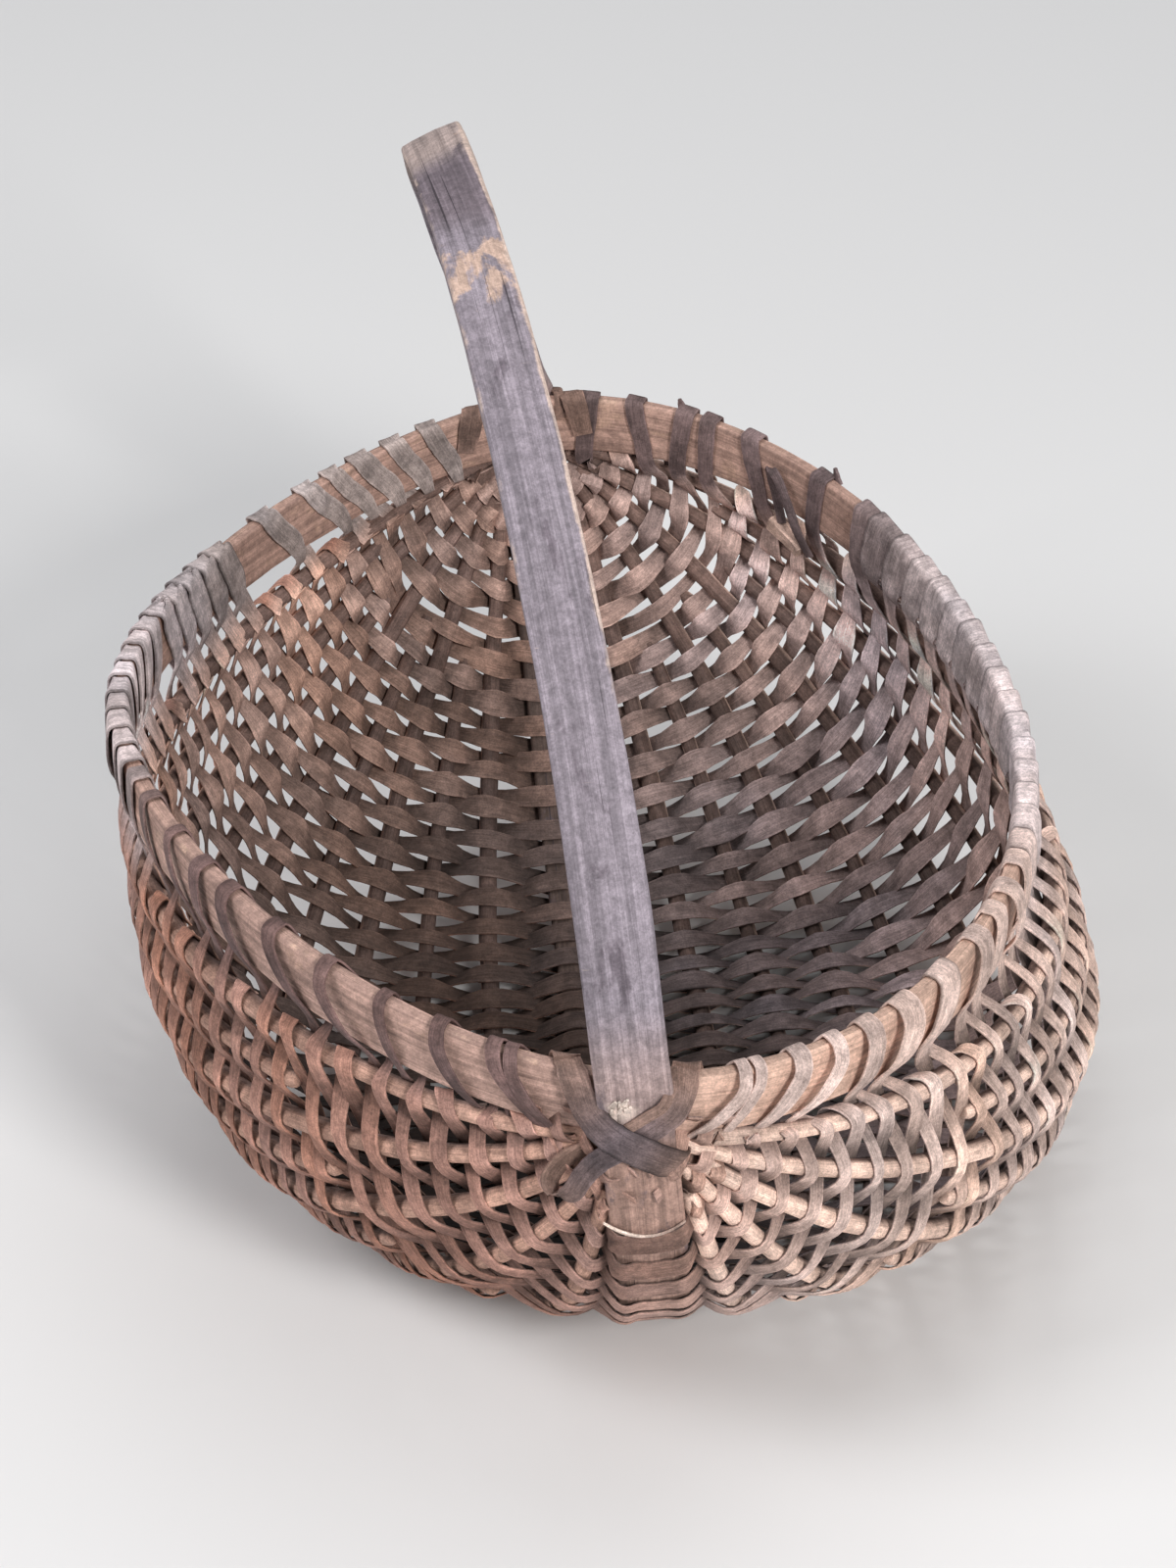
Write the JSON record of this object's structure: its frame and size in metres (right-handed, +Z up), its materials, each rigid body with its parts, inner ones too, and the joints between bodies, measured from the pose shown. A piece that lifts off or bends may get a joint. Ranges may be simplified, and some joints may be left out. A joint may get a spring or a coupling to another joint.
{
  "type": "buttocks basket",
  "caption": "Ribbed basket of split wood with a lobed bottom: oval rim hoop, handle hoop that runs under as a spine, whittled ribs, flat weavers and crossed ear lashings.",
  "frame": {"origin": "on the surface that the basket stands on, under the middle of its box", "axes": "+Z up through the mouth and the handle; +Y along the length of the rim, from the near ear to the far ear; +X to the fuller lobe"},
  "size_m": [0.332, 0.4086, 0.3712],
  "materials": {
    "rim_wood": "weathered, bare and dry",
    "handle_wood": "weathered, worn smooth at the grip",
    "rib_wood": "whittled and dry",
    "split_wood": "weathered and matt",
    "lashing_wood": "dark and dry"
  },
  "bodies": {
    "root": {"rim_hoop": "rim_wood", "handle_hoop": "handle_wood", "rib_left_1": "rib_wood", "rib_left_2": "rib_wood", "rib_left_3": "rib_wood", "rib_left_4": "rib_wood", "rib_left_5": "rib_wood", "rib_left_6": "rib_wood", "rib_left_7": "rib_wood", "rib_left_8": "rib_wood", "rib_left_9": "rib_wood", "rib_right_1": "rib_wood", "rib_right_2": "rib_wood", "rib_right_3": "rib_wood", "rib_right_4": "rib_wood", "rib_right_5": "rib_wood", "rib_right_6": "rib_wood", "rib_right_7": "rib_wood", "rib_right_8": "rib_wood", "rib_right_9": "rib_wood", "weaver_01": "split_wood", "weaver_02": "split_wood", "weaver_03": "split_wood", "weaver_04": "split_wood", "weaver_05": "split_wood", "weaver_06": "split_wood", "weaver_07": "split_wood", "weaver_08": "split_wood", "weaver_09": "split_wood", "weaver_10": "split_wood", "weaver_11": "split_wood", "weaver_12": "split_wood", "weaver_13": "split_wood", "weaver_14": "split_wood", "weaver_15": "split_wood", "weaver_16": "split_wood", "weaver_17": "split_wood", "weaver_18": "split_wood", "weaver_19": "split_wood", "weaver_20": "split_wood", "weaver_21": "split_wood", "weaver_22": "split_wood", "weaver_23": "split_wood", "weaver_24": "split_wood", "weaver_25": "split_wood", "weaver_26": "split_wood", "weaver_27": "split_wood", "weaver_28": "split_wood", "weaver_29": "split_wood", "weaver_30": "split_wood", "near_lashing_under": "lashing_wood", "near_lashing_over": "lashing_wood", "far_lashing_under": "lashing_wood", "far_lashing_over": "lashing_wood"}
  },
  "joints": []
}
